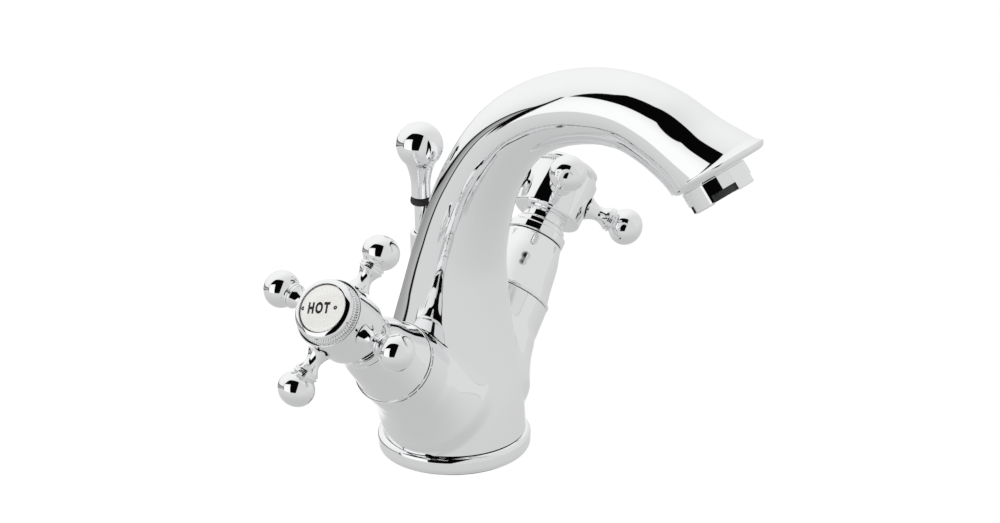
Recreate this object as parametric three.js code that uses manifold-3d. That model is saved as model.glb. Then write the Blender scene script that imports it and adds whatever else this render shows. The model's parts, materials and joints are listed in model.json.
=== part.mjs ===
// Two-handle basin mixer with a swan-neck spout, a pop-up waste lift rod and an under-deck fixing kit.
// Millimetres. Origin: middle of the underside that sits on the deck. +Z up, spout towards -Y,
// hot valve towards -X, cold valve towards +X.
import * as THREE from 'three';
import { mergeVertices } from 'three/addons/utils/BufferGeometryUtils.js';
import Module from 'manifold-3d';

const wasm = await Module();
wasm.setup();

// ---------- driving dimensions ----------
const gap = 0.3;                       // play between pieces that touch
const baseRing = { radius: 27, height: 6.8, edge: 2.6 };
const spigot = { radius: 21.5 };       // part of the casting that centres the base ring
const baseSeal = { inner: 22.8, outer: 25.2, height: 1.8 };

const column = { footRadius: 25.4, waistRadius: 24.6, waistHeight: 22, chestRadius: 22, chestHeight: 42 };
const spout = {
  rootHeight: 62,                      // where the neck leaves the column
  rootRadius: 18.4,
  apexHeight: 143.6,                   // highest point of the centre line
  reach: 109,                          // from the middle of the column to the outlet axis at the lip
  outletTilt: 37,                      // outlet axis, degrees forward of straight down
  lipLength: 38,                       // lip, front to back along its own slope
  lipWidth: 32,
  beak: 4.1,                           // how far the lip's middle is ahead of the outlet axis
  outletShare: 0.8,                    // height of the lip's middle, as a share of the rise
  bore: 8,                             // radius of the waterway
};
const valve = { tilt: 42, handleX: 65.5, handleZ: 72.6 };   // handle centre and angle above level
// Depths along a valve are below its handle centre; an inset is short of the middle of the column.
const boss = { faceRadius: 15, rootRadius: 17.5, face: 42, rootInset: 26.14 };
const disc = { radius: 7.2, thickness: 3, portInner: 1.8, portOuter: 5.8, portStart: 12, portEnd: 78 };
const seatSeal = { inner: 3.8, thickness: 1.7 };
const spindle = { radius: 4, flange: 3.8, groove: 2.9, top: 1.3, clipGroove: 3.1, clipHeight: 0.6 };
const seatPort = { radius: 3.6, inset: 14.14 };
const shroud = { wall: 1.6, rimRadius: 15.1, topRadius: 10.4, top: 19 };
const bonnet = { radius: 10.4, collarRadius: 9, bottom: shroud.top - gap, step: 15.3, top: 13.1 };
const hub = {
  radius: 12.4, back: 9.5, front: 7.5, neckRadius: 7.8, neckBottom: bonnet.top - gap,
  cavityRadius: 9.6, cavityFloor: 3.6,
};
const headwork = {
  thread: 10,
  chamber: disc.radius + gap,
  barrel: 8.4,
  neck: spindle.radius + 2,
  hexAcrossFlats: 20,
  hexHeight: 5.2,
  barrelTop: shroud.top + shroud.wall + 1.4,
  top: bonnet.top + 1.3,
  bottom: boss.face + 17.7,
  chamberTop: boss.face + 4.9,
  windowWidth: 6,
  windowHeight: 4.4,
};
const arm = {
  count: 4, ballDistance: 27.3, ballRadius: 6.6, ballLength: 6.1, root: 4.3, waist: 2.8, collar: 4.3,
  stud: 2.4, studDepth: 3.6,
};
const handleTurn = { hot: 78.6, cold: 34.6 };               // where the first arm points, degrees
const screw = { radius: 1.9, head: 4, headHeight: 2.4, length: 14 };
const indexDisc = { radius: 8.6, thickness: 2.9 };
const bezel = {
  radius: 11.3, height: 5, shoulder: 1.8, mouth: indexDisc.radius + gap, ledge: 1.4, spigotDepth: 3,
};
const bezelTop = hub.front + bezel.height;

const rod = { y: 12, radius: 2.4, threadRadius: 2, bottom: -60, top: 92.3 };
const knob = { ballRadius: 8.25, ballHeight: rod.top + 19.3, shankRadius: rod.radius + 1 };
const stopRing = { radius: rod.radius + 1.4, height: 2.6 };
const rodBush = { radius: rod.radius + 1.8, bottom: 66, top: 79 };

const aerator = {
  radius: 12, thread: 11.3, below: 8.3, threadHeight: 7, bore: 10, ledge: 8.8, ledgeHeight: 4.4,
  notchCount: 4, notchWidth: 9.4, notchHeight: 3,
};
const aeratorWasher = { inner: 7, thickness: 1.7 };
const insert = { thickness: 3, holes: 8, holeRadius: 1.3 };
const screen = { thickness: 0.6, holeSize: 2.2, pitch: 3.4 };

const inlet = { x: 11, y: 2, radius: 5, height: 24 };
const crossDrill = { radius: 3.6, height: 45 };
const deckThickness = 28;
const stud = { y: -12, radius: 4, top: 13, bottom: -50 };
const clamp = { radius: 23, rubber: 3, steel: 2, slotHalf: 17.5, slotFront: -5 };
const nut = { acrossFlats: 13, height: 6.5 };

const rad = THREE.MathUtils.degToRad;
const facets = { large: 28, medium: 20, small: 14, fine: 10 };   // sides of a turned piece, by its size

// ---------- materials ----------
const finish = (color, roughness, metalness) =>
  new THREE.MeshStandardMaterial({ color, roughness, metalness });
const chrome = finish(0xe6e8ea, 0.06, 1);
const brass = finish(0xc9a35a, 0.35, 1);
const steel = finish(0xb4b7ba, 0.35, 1);
const rubber = finish(0x161616, 0.75, 0);
const ceramic = finish(0xe9e6df, 0.3, 0);
const porcelain = finish(0xf6f5f0, 0.12, 0);
const plastic = finish(0xdfe2e4, 0.45, 0);

// ---------- solid helpers ----------
// One welded, outward-facing copy of a geometry, without zero-area triangles.
function welded(geometry) {
  const bare = geometry.clone();
  bare.deleteAttribute('normal');
  bare.deleteAttribute('uv');
  const merged = mergeVertices(bare, 1e-4);
  const place = merged.attributes.position.array;
  const source = merged.index.array;
  const faces = [];
  let volume = 0;
  for (let i = 0; i < source.length; i += 3) {
    const [a, b, c] = source.slice(i, i + 3);
    if (a === b || b === c || c === a) continue;
    faces.push(a, b, c);
    const [p, q, r] = [a, b, c].map((k) => new THREE.Vector3().fromArray(place, 3 * k));
    volume += p.dot(q.cross(r));
  }
  if (volume < 0) {
    for (let i = 0; i < faces.length; i += 3) [faces[i + 1], faces[i + 2]] = [faces[i + 2], faces[i + 1]];
  }
  return { place: Float32Array.from(place), faces: Uint32Array.from(faces) };
}

function solid(geometry) {
  const { place, faces } = welded(geometry);
  return new wasm.Manifold(new wasm.Mesh({ numProp: 3, vertProperties: place, triVerts: faces }));
}

function shapeOf(place, faces) {
  const geometry = new THREE.BufferGeometry();
  geometry.setAttribute('position', new THREE.BufferAttribute(place, 3));
  geometry.setIndex(new THREE.BufferAttribute(faces, 1));
  geometry.computeVertexNormals();
  return geometry;
}

function fromSolid(body) {
  const mesh = body.getMesh();
  return shapeOf(mesh.vertProperties, mesh.triVerts);
}

function piece(name, shape, material) {
  const isSolid = shape instanceof wasm.Manifold;
  const { place, faces } = isSolid ? {} : welded(shape);
  const mesh = new THREE.Mesh(isSolid ? fromSolid(shape) : shapeOf(place, faces), material);
  mesh.name = name;
  return mesh;
}

// A profile of [radius, height] points turned about Z. Off-axis profiles close on themselves.
function lathe(profile, segments = facets.medium) {
  const points = profile.map(([r, z]) => new THREE.Vector2(r, z));
  const open = profile[0][0] > 0 || profile.at(-1)[0] > 0;
  if (open) points.push(points[0].clone());
  return new THREE.LatheGeometry(points, segments).rotateX(Math.PI / 2);
}

// Points of an arc in a [radius, height] profile, from angle a to angle b in degrees.
function arc(r, z, size, a, b, steps = 4, squash = 1) {
  return Array.from({ length: steps + 1 }, (_, i) => {
    const t = rad(a + ((b - a) * i) / steps);
    return [r + size * Math.cos(t), z + size * squash * Math.sin(t)];
  });
}

const tube = (inner, outer, low, high, segments) =>
  lathe([[inner, low], [outer, low], [outer, high], [inner, high]], segments);

const bar = (radius, low, high, segments = facets.small) =>
  lathe([[0, low], [radius, low], [radius, high], [0, high]], segments);

function extruded(shape, low, high) {
  return new THREE.ExtrudeGeometry(shape, { depth: high - low, bevelEnabled: false, curveSegments: 6 })
    .translate(0, 0, low);
}

function polygon(points) {
  return new THREE.Shape(points.map(([x, y]) => new THREE.Vector2(x, y)));
}

function circleHole(shape, x, y, radius) {
  shape.holes.push(new THREE.Path().absarc(x, y, radius, 0, 2 * Math.PI, true));
}

const hexagon = (acrossFlats) => polygon(Array.from({ length: 6 }, (_, i) => {
  const corner = acrossFlats / Math.sqrt(3);
  return [corner * Math.cos(rad(60 * i)), corner * Math.sin(rad(60 * i))];
}));

// Catmull-Rom curve through rows of any number of values.
function through(rows, t) {
  const at = Math.min(Math.floor(t), rows.length - 2);
  const f = t - at;
  const row = (k) => rows[THREE.MathUtils.clamp(k, 0, rows.length - 1)];
  return rows[0].map((_, n) => {
    const [p0, p1, p2, p3] = [row(at - 1)[n], row(at)[n], row(at + 1)[n], row(at + 2)[n]];
    return 0.5 * (2 * p1 + (p2 - p0) * f + (2 * p0 - 5 * p1 + 4 * p2 - p3) * f * f
      + (3 * p1 - p0 - 3 * p2 + p3) * f * f * f);
  });
}

// A closed solid through oval sections: each has forward, height, heading (degrees above level),
// half depth in the plane of the bend and half width across it.
function loft(sections, segments) {
  const place = [];
  for (const [forward, height, heading, depth, width] of sections) {
    for (let i = 0; i < segments; i += 1) {
      const t = (2 * Math.PI * i) / segments;
      const up = depth * Math.cos(t);
      place.push(
        width * Math.sin(t),
        -(forward - up * Math.sin(rad(heading))),
        height + up * Math.cos(rad(heading)),
      );
    }
  }
  const faces = [];
  const rings = sections.length;
  for (let k = 0; k < rings - 1; k += 1) {
    for (let i = 0; i < segments; i += 1) {
      const j = (i + 1) % segments;
      const [a, b] = [k * segments + i, k * segments + j];
      const [c, d] = [b + segments, a + segments];
      faces.push(a, b, c, a, c, d);
    }
  }
  const last = (rings - 1) * segments;
  for (let i = 1; i < segments - 1; i += 1) faces.push(0, i + 1, i, last, last + i, last + i + 1);
  return shapeOf(Float32Array.from(place), Uint32Array.from(faces));
}

// ---------- frames of the valves and the outlet ----------
const sides = [
  { name: 'hot', sign: -1, turn: handleTurn.hot },
  { name: 'cold', sign: 1, turn: handleTurn.cold },
];

// Handle centre at the origin, outward valve axis along +Z.
function valveFrame(sign) {
  const frame = new THREE.Group();
  frame.position.set(sign * valve.handleX, 0, valve.handleZ);
  frame.rotation.y = sign * rad(90 - valve.tilt);
  frame.updateMatrix();
  return frame;
}

// Lip plane at z = 0, water leaves towards -Z.
const lipSlope = rad(spout.outletTilt);
const valveSlope = rad(valve.tilt);
const axisDepth = valve.handleX / Math.cos(valveSlope);     // from the handle to the middle of the column
const neckRise = spout.apexHeight - spout.rootHeight;
const outlet = { forward: spout.reach, height: spout.rootHeight + spout.outletShare * neckRise };

function outletFrame() {
  const frame = new THREE.Group();
  frame.position.set(0, -outlet.forward, outlet.height);
  frame.rotation.x = -lipSlope;
  frame.updateMatrix();
  return frame;
}

// ---------- cast body ----------
// Swan neck: forward as a share of the reach, height as a share of the rise, heading and radius.
function neckRows() {
  const shares = [
    [0.02, 0, 86, spout.rootRadius],
    [0.05, 0.22, 77, 15.8],
    [0.12, 0.5, 65, 13.9],
    [0.23, 0.74, 50, 12.9],
    [0.37, 0.89, 31, 12.7],
    [0.54, 0.98, 13, 13.1],
    [0.69, 1, -4, 13.4],
    [0.81, 0.965, -18, 14.1],
    [0.93, 0.89, -33, 14.9],
  ];
  const rows = shares.map(([forward, rise, heading, radius]) => [
    forward * spout.reach, spout.rootHeight + rise * neckRise, heading, radius, radius,
  ]);
  rows.push([
    outlet.forward + spout.beak * Math.cos(lipSlope),
    outlet.height + spout.beak * Math.sin(lipSlope),
    spout.outletTilt - 90,
    spout.lipLength / 2,
    spout.lipWidth / 2,
  ]);
  return rows;
}

function columnRows() {
  const { footRadius, waistRadius, waistHeight, chestRadius, chestHeight } = column;
  return [
    [0, baseRing.height + gap, 90, footRadius, footRadius],
    [0, waistHeight, 90, waistRadius, waistRadius],
    [0, chestHeight, 90, chestRadius, chestRadius],
  ];
}

function sampled(rows, perSpan) {
  const count = (rows.length - 1) * perSpan;
  return Array.from({ length: count + 1 }, (_, i) => through(rows, i / perSpan));
}

function bossShape(sign) {
  const { faceRadius, rootRadius, face, rootInset } = boss;
  const root = axisDepth - rootInset;
  const cone = lathe([[0, -root], [rootRadius, -root], [faceRadius + 0.6, -face - 1], [faceRadius, -face],
    [0, -face]], facets.medium);
  return cone.applyMatrix4(valveFrame(sign).matrix);
}

function valveBore(sign) {
  const seat = headwork.bottom + gap;
  const wide = headwork.thread + gap;
  const end = axisDepth - seatPort.inset;
  const profile = [[0, -end], [seatPort.radius, -end], [seatPort.radius, -seat], [wide, -seat],
    [wide, -boss.face + 5], [0, -boss.face + 5]];
  return lathe(profile, facets.medium).applyMatrix4(valveFrame(sign).matrix);
}

const socketDepth = aerator.threadHeight + aeratorWasher.thickness + 2 * gap;

function waterway() {
  const rows = neckRows().slice(0, -1).map(([y, z, heading]) => [y, z, heading, spout.bore, spout.bore]);
  const start = [0, crossDrill.height - spout.bore, 90, spout.bore, spout.bore];
  const inSocket = 0.6 * socketDepth;
  const stop = [
    outlet.forward - inSocket * Math.sin(lipSlope),
    outlet.height + inSocket * Math.cos(lipSlope),
    spout.outletTilt - 90, aeratorWasher.inner, aeratorWasher.inner,
  ];
  return solid(loft(sampled([start, ...rows, stop], 2), facets.fine));
}

function aeratorSocket() {
  return bar(aerator.thread + gap, -5, socketDepth, facets.medium).applyMatrix4(outletFrame().matrix);
}

function castBody() {
  const shell = solid(loft(sampled([...columnRows(), ...neckRows()], 2), facets.large));
  const foot = solid(bar(spigot.radius, 0, baseRing.height + 2, facets.large));
  let body = shell.add(foot);
  for (const { sign } of sides) body = body.add(solid(bossShape(sign)));
  for (const { sign } of sides) {
    body = body.subtract(solid(valveBore(sign)));
    body = body.subtract(solid(bar(inlet.radius, -1, inlet.height).translate(sign * inlet.x, inlet.y, 0)));
  }
  const across = valve.handleX - boss.face * Math.cos(valveSlope) - headwork.thread;
  const drill = bar(crossDrill.radius, -across, across, facets.fine).rotateY(Math.PI / 2)
    .translate(0, 0, crossDrill.height);
  const rodHole = bar(rod.radius + gap, -1, knob.ballHeight, facets.fine).translate(0, rod.y, 0);
  const bushSeat = bar(rodBush.radius + gap, rodBush.bottom - gap, knob.ballHeight).translate(0, rod.y, 0);
  const studHole = bar(stud.radius + gap, -1, stud.top + 1).translate(0, stud.y, 0);
  for (const cut of [drill, rodHole, bushSeat, studHole, aeratorSocket()]) body = body.subtract(solid(cut));
  return piece('cast_body', body.subtract(waterway()), chrome);
}

// ---------- base ----------
function baseRingPiece() {
  const { radius, height, edge } = baseRing;
  const inner = spigot.radius + gap;
  const top = arc(radius - edge, height - edge, edge, 0, 90);
  const foot = arc(radius - edge, edge, edge, -90, 0);
  const profile = [[inner, 0], [baseSeal.inner - gap, 0], [baseSeal.inner - gap, baseSeal.height + gap],
    [baseSeal.outer + gap, baseSeal.height + gap], [baseSeal.outer + gap, 0.5], ...foot.slice(2, -1), ...top,
    [inner, height]];
  return piece('base_ring', lathe(profile, facets.large), chrome);
}

const baseSealPiece = () =>
  piece('base_seal', tube(baseSeal.inner, baseSeal.outer, 0, baseSeal.height, facets.large), rubber);

// ---------- outlet ----------
function aeratorHousing() {
  const { radius, thread, below, threadHeight, bore, ledge, ledgeHeight } = aerator;
  const { notchCount, notchWidth, notchHeight } = aerator;
  const profile = [[ledge, -below], [radius - 0.5, -below], [radius, -below + 0.5], [radius, -gap],
    [thread, -gap], [thread, threadHeight], [bore, threadHeight],
    [bore, -below + ledgeHeight], [ledge, -below + ledgeHeight]];
  let body = solid(lathe(profile));
  for (let i = 0; i < notchCount; i += 1) {
    const notch = new THREE.BoxGeometry(radius, notchWidth, 2 * notchHeight).translate(radius, 0, -below);
    body = body.subtract(solid(notch.rotateZ((2 * Math.PI * (i + 0.5)) / notchCount)));
  }
  return piece('aerator_housing', body, chrome);
}

function aeratorInsert() {
  const outline = new THREE.Shape().absarc(0, 0, aerator.bore - gap, 0, 2 * Math.PI);
  circleHole(outline, 0, 0, insert.holeRadius);
  for (const ring of [0.42, 0.76]) {
    for (let i = 0; i < insert.holes; i += 1) {
      const t = (2 * Math.PI * (i + ring)) / insert.holes;
      const middle = ring * aerator.bore;
      circleHole(outline, middle * Math.cos(t), middle * Math.sin(t), insert.holeRadius);
    }
  }
  const settings = { depth: insert.thickness, bevelEnabled: false, curveSegments: 4 };
  const shape = new THREE.ExtrudeGeometry(outline, settings);
  return piece('aerator_insert', shape.translate(0, 0, -aerator.below + aerator.ledgeHeight + gap), plastic);
}

function aeratorScreen() {
  const { thickness, holeSize, pitch } = screen;
  const low = -aerator.below + aerator.ledgeHeight + insert.thickness + 2 * gap;
  let body = solid(bar(aerator.bore - gap, low, low + thickness, facets.medium));
  for (let i = -2; i <= 2; i += 1) {
    for (let j = -2; j <= 2; j += 1) {
      if (Math.abs(i) + Math.abs(j) === 4) continue;
      const hole = new THREE.BoxGeometry(holeSize, holeSize, 4 * thickness);
      body = body.subtract(solid(hole.translate(i * pitch, j * pitch, low)));
    }
  }
  return piece('aerator_screen', body, steel);
}

function outletPieces() {
  const frame = outletFrame();
  const low = aerator.threadHeight + gap;
  const washer = tube(aeratorWasher.inner, aerator.thread, low, low + aeratorWasher.thickness, facets.medium);
  frame.add(aeratorHousing(), aeratorInsert(), aeratorScreen(), piece('aerator_washer', washer, rubber));
  return frame;
}

// ---------- valve: fixed pieces ----------
function headworkBody(name) {
  const { thread, chamber, barrel, neck, hexAcrossFlats, hexHeight, barrelTop, top } = headwork;
  const { bottom, chamberTop, windowWidth, windowHeight } = headwork;
  const stem = spindle.radius + gap;
  const seat = boss.face - gap;
  const profile = [[chamber, -bottom], [thread, -bottom], [thread, -seat], [barrel, -seat],
    [barrel, -barrelTop], [neck, -barrelTop], [neck, -top], [stem, -top], [stem, -chamberTop],
    [chamber, -chamberTop]];
  const hex = solid(extruded(hexagon(hexAcrossFlats), -seat, -seat + hexHeight));
  const core = solid(bar(barrel - 1, -seat - 1, -seat + hexHeight + 1));
  const body = solid(lathe(profile, facets.small)).add(hex.subtract(core));
  const window = new THREE.BoxGeometry(3 * thread, windowWidth, windowHeight);
  const cut = solid(window.translate(0, 0, -chamberTop - windowHeight / 2));
  return piece(`${name}_headwork`, body.subtract(cut), brass);
}

// Outer outline of the bell-shaped cover, from its rim to its shoulder.
function shroudOutline() {
  const { rimRadius, topRadius, top } = shroud;
  const rim = boss.face - gap;
  const height = rim - top;
  const bell = [0, 0.04, 0.16, 0.34, 0.66, 0.9].map((share) => {
    const flare = Math.pow(1 - share, 1.15);
    return [topRadius + (rimRadius - topRadius) * flare, -rim + share * height];
  });
  return [...bell, ...arc(topRadius - 1.2, -top - 1.2, 1.2, 30, 90, 2)];
}

function shroudPiece(name) {
  const outside = shroudOutline();
  const ceiling = -shroud.top - shroud.wall;
  const inside = outside.slice(0, 6).reverse().map(([r, z]) => [r - shroud.wall, Math.min(z, ceiling)]);
  const hole = headwork.neck + gap;
  const profile = [...outside, [hole, -shroud.top], [hole, ceiling], ...inside];
  return piece(`${name}_shroud`, lathe(profile), chrome);
}

function bonnetRing(name) {
  const { radius, collarRadius, bottom, step, top } = bonnet;
  const inner = headwork.neck + gap;
  const profile = [[inner, -bottom], [radius - 0.5, -bottom], [radius, -bottom + 0.6], [radius, -step - 0.6],
    [radius - 0.5, -step], [collarRadius, -step], [collarRadius, -top - 0.5], [collarRadius - 0.5, -top],
    [inner, -top]];
  return piece(`${name}_bonnet_ring`, lathe(profile), chrome);
}

// Ceramic disc with two quarter-circle ports.
function ceramicDisc(name, low) {
  const { radius, thickness, portInner, portOuter } = disc;
  const [start, end] = [rad(disc.portStart), rad(disc.portEnd)];
  let body = solid(bar(radius, low, low + thickness));
  for (const half of [0, Math.PI]) {
    const port = new THREE.Shape().absarc(0, 0, portOuter, start, end);
    port.absarc(0, 0, portInner, end, start, true);
    body = body.subtract(solid(extruded(port, low - 1, low + thickness + 1).rotateZ(half)));
  }
  return piece(name, body, ceramic);
}

const sealBottom = -(headwork.bottom + gap) + gap;
const fixedDiscBottom = sealBottom + seatSeal.thickness + gap;
const movingDiscBottom = fixedDiscBottom + disc.thickness + gap;
const spindleBottom = movingDiscBottom + disc.thickness + gap;

function seatSealPiece(name) {
  const ring = tube(seatSeal.inner, disc.radius, sealBottom, sealBottom + seatSeal.thickness, facets.small);
  return piece(`${name}_seat_seal`, ring, rubber);
}

// ---------- valve: turning pieces ----------
const grooveHeight = 2.2;
const stemRing = { low: -31, inner: spindle.groove + 0.15, outer: spindle.radius + 0.15 };
const clipLow = -headwork.top + gap;

function spindlePiece(name) {
  const { radius, flange, groove, top, clipGroove, clipHeight } = spindle;
  const flangeTop = -headwork.chamberTop - gap;
  const profile = [[0, spindleBottom], [disc.radius, spindleBottom], [disc.radius, flangeTop],
    [radius, flangeTop], [radius, stemRing.low - gap], [groove, stemRing.low - gap],
    [groove, stemRing.low + grooveHeight + gap],
    [radius, stemRing.low + grooveHeight + gap], [radius, clipLow - 0.2], [clipGroove, clipLow - 0.2],
    [clipGroove, clipLow + clipHeight + 0.2], [radius, clipLow + clipHeight + 0.2], [radius, -top],
    [screw.radius + gap, -top], [screw.radius + gap, -top - screw.length + 2], [0, -top - screw.length + 2]];
  let body = solid(lathe(profile, facets.fine));
  for (const sign of [-1, 1]) {
    const flat = new THREE.BoxGeometry(2 * disc.radius, disc.radius, flange);
    flat.translate(0, sign * disc.radius, spindleBottom + 0.4 * flange);
    body = body.subtract(solid(flat));
  }
  return piece(`${name}_spindle`, body, brass);
}

function stemORing(name) {
  const middle = (stemRing.inner + stemRing.outer) / 2;
  const thick = (stemRing.outer - stemRing.inner) / 2;
  const section = arc(middle, stemRing.low + grooveHeight / 2, thick, 0, 288, 4);
  return piece(`${name}_stem_o_ring`, lathe(section, facets.fine), rubber);
}

function circlip(name) {
  const opening = rad(30);
  const outline = new THREE.Shape()
    .absarc(0, 0, headwork.neck - 0.8, opening, 2 * Math.PI - opening)
    .absarc(0, 0, spindle.clipGroove + 0.2, 2 * Math.PI - opening, opening, true);
  return piece(`${name}_circlip`, extruded(outline, clipLow, clipLow + spindle.clipHeight), steel);
}

function hubPiece(name) {
  const { radius, back, front, neckRadius, neckBottom, cavityRadius, cavityFloor } = hub;
  const stem = spindle.radius + gap;
  const profile = [[stem, -neckBottom], [neckRadius, -neckBottom], [neckRadius + 0.3, -back - 0.6],
    [radius - 1.6, -back], [radius - 0.4, -back + 0.7], [radius, -back + 2.6], [radius + 0.2, -2],
    [radius, front - 3], [radius - 0.3, front - 0.6], [radius - 0.9, front], [cavityRadius, front],
    [cavityRadius, cavityFloor], [screw.radius + gap, cavityFloor],
    [screw.radius + gap, -spindle.top + gap], [stem, -spindle.top + gap]];
  let body = solid(lathe(profile));
  for (let i = 0; i < arm.count; i += 1) {
    const hole = bar(arm.stud + gap, radius - arm.studDepth - gap, radius + 3, facets.fine);
    body = body.subtract(solid(hole.rotateY(Math.PI / 2).rotateZ((2 * Math.PI * i) / arm.count)));
  }
  return piece(`${name}_hub`, body, chrome);
}

// One turned arm with its ball, lying along +X from the hub.
function armPiece(name, number) {
  const { ballDistance, ballRadius, ballLength, root, waist, collar, stud: studRadius, studDepth } = arm;
  const start = hub.radius;
  const neckEnd = ballDistance - ballLength;
  const span = neckEnd - start;
  const ball = arc(0, ballDistance, ballRadius, -62, 90, 6, ballLength / ballRadius);
  const profile = [[0, start - studDepth], [studRadius, start - studDepth], [studRadius, start - 1.6],
    [root, start - 1.6], [root, start + 0.06 * span], [waist + 0.5, start + 0.24 * span],
    [waist, start + 0.42 * span],
    [waist + 0.3, start + 0.56 * span], [collar - 0.6, start + 0.66 * span], [collar, start + 0.72 * span],
    [collar, start + 0.8 * span], [collar - 0.8, start + 0.9 * span], ...ball];
  const skin = bar(hub.radius + 0.2 + gap, -hub.front - 4, hub.front + 4, facets.medium);
  const stem = bar(studRadius, start - studDepth, start + 1, facets.fine).rotateY(Math.PI / 2);
  const body = solid(lathe(profile, facets.fine).rotateY(Math.PI / 2)).subtract(solid(skin)).add(solid(stem));
  const mesh = piece(`${name}_arm_${number + 1}`, body, chrome);
  mesh.rotation.z = (2 * Math.PI * number) / arm.count;
  return mesh;
}

function handleScrew(name) {
  const seat = hub.cavityFloor + gap;
  const { radius, head, headHeight, length } = screw;
  const profile = [[0, seat - length], [radius, seat - length], [radius, seat], [head, seat],
    [head, seat + headHeight - 0.8], [head - 0.8, seat + headHeight], [0, seat + headHeight]];
  const slot = new THREE.BoxGeometry(3 * head, 1, 1.6).translate(0, 0, seat + headHeight);
  return piece(`${name}_handle_screw`, solid(lathe(profile, facets.fine)).subtract(solid(slot)), steel);
}

function bezelPiece(name) {
  const { radius, shoulder, mouth, ledge, spigotDepth } = bezel;
  const top = bezelTop;
  const low = hub.front + gap;
  const discSeat = top - indexDisc.thickness - gap;
  const reach = radius - mouth - 0.3;
  const dome = arc(mouth + 0.3, low + shoulder, reach, 0, 78, 4, (top - low - shoulder) / reach);
  const spigotRadius = hub.cavityRadius - gap;
  const spigotLow = hub.front - spigotDepth;
  const profile = [[mouth - ledge, spigotLow], [spigotRadius, spigotLow], [spigotRadius, low], [radius, low], ...dome, [mouth, top],
    [mouth, discSeat], [mouth - ledge, discSeat]];
  return piece(`${name}_bezel`, lathe(profile), chrome);
}

function indexDiscPiece(name) {
  const { radius, thickness } = indexDisc;
  const low = bezelTop - thickness;
  const profile = [[0, low], [radius, low], [radius, bezelTop - 0.5], [radius - 0.5, bezelTop - 0.2],
    [radius - 2.4, bezelTop], [0, bezelTop]];
  return piece(`${name}_index_disc`, lathe(profile), porcelain);
}

function valvePieces({ name, sign, turn }) {
  const frame = valveFrame(sign);
  const handle = new THREE.Group();
  handle.rotation.z = rad(turn);
  handle.add(hubPiece(name), handleScrew(name), bezelPiece(name), indexDiscPiece(name));
  for (let i = 0; i < arm.count; i += 1) handle.add(armPiece(name, i));
  frame.add(
    headworkBody(name), shroudPiece(name), bonnetRing(name), seatSealPiece(name),
    ceramicDisc(`${name}_fixed_disc`, fixedDiscBottom), ceramicDisc(`${name}_moving_disc`, movingDiscBottom),
    spindlePiece(name), stemORing(name), circlip(name), handle,
  );
  return frame;
}

// ---------- pop-up lift rod ----------
function liftKnob() {
  const { ballRadius, ballHeight, shankRadius } = knob;
  const low = rod.top + gap;
  const bore = rod.threadRadius + gap;
  const ball = arc(0, ballHeight, ballRadius, -48, 90, 7);
  const profile = [[bore, low], [shankRadius, low],
    [shankRadius + 0.1, low + 0.4 * (ballHeight - low - ballRadius)],
    [shankRadius + 0.7, ballHeight - ballRadius - 2], ...ball, [0, ballHeight - 2], [bore, ballHeight - 2]];
  return piece('lift_knob', lathe(profile), chrome);
}

function liftRodPieces() {
  const group = new THREE.Group();
  group.position.set(0, rod.y, 0);
  const threadTop = knob.ballHeight - 4;
  const stem = [[0, rod.bottom], [rod.radius - 0.5, rod.bottom], [rod.radius, rod.bottom + 0.5],
    [rod.radius, rod.top], [rod.threadRadius, rod.top], [rod.threadRadius, threadTop], [0, threadTop]];
  const ringLow = rod.top - stopRing.height;
  const ringInner = rod.radius + gap;
  const bulge = (stopRing.radius - ringInner) / 2;
  const halfHeight = stopRing.height / 2;
  const round = arc(ringInner + bulge, ringLow + halfHeight, bulge, -90, 90, 4, halfHeight / bulge);
  const ring = [[ringInner, ringLow], ...round, [ringInner, ringLow + stopRing.height]];
  const bush = tube(rod.radius + gap, rodBush.radius, rodBush.bottom, rodBush.top, facets.small);
  group.add(
    liftKnob(), piece('lift_rod', lathe(stem, facets.fine), chrome),
    piece('lift_stop_ring', lathe(ring, facets.small), rubber), piece('rod_bush', bush, chrome),
  );
  return group;
}

// ---------- under-deck fixing kit ----------
// Horseshoe plate: solid at the front, open at the back for the hoses and the rod.
function horseshoe(name, high, thickness, material) {
  const { radius, slotHalf, slotFront } = clamp;
  const edge = Math.sqrt(radius * radius - slotHalf * slotHalf);
  const end = Math.atan2(edge, slotHalf);
  const outline = new THREE.Shape().absarc(0, 0, radius, Math.PI - end, 2 * Math.PI + end)
    .lineTo(slotHalf, slotFront).lineTo(-slotHalf, slotFront);
  circleHole(outline, 0, stud.y, stud.radius + gap);
  return piece(name, extruded(outline, high - thickness, high), material);
}

function fixingKit() {
  const group = new THREE.Group();
  const rubberTop = -deckThickness;
  const steelTop = rubberTop - clamp.rubber - gap;
  const nutTop = steelTop - clamp.steel - gap;
  const outline = hexagon(nut.acrossFlats);
  circleHole(outline, 0, 0, stud.radius + gap);
  const nutPiece = piece('fixing_nut', extruded(outline, nutTop - nut.height, nutTop), brass);
  nutPiece.position.y = stud.y;
  const studPiece = piece('fixing_stud', bar(stud.radius, stud.bottom, stud.top), steel);
  studPiece.position.y = stud.y;
  group.add(
    horseshoe('clamp_rubber', rubberTop, clamp.rubber, rubber),
    horseshoe('clamp_plate', steelTop, clamp.steel, steel), nutPiece, studPiece,
  );
  return group;
}

// ---------- assembly ----------
const mixer = new THREE.Group();
mixer.add(castBody(), baseRingPiece(), baseSealPiece(), outletPieces(), liftRodPieces(), fixingKit());
for (const side of sides) mixer.add(valvePieces(side));

export default mixer;
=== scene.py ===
import json
from math import cos, pi, radians, sin, tan

import bmesh
import bpy
import numpy as np
from mathutils import Matrix


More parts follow.
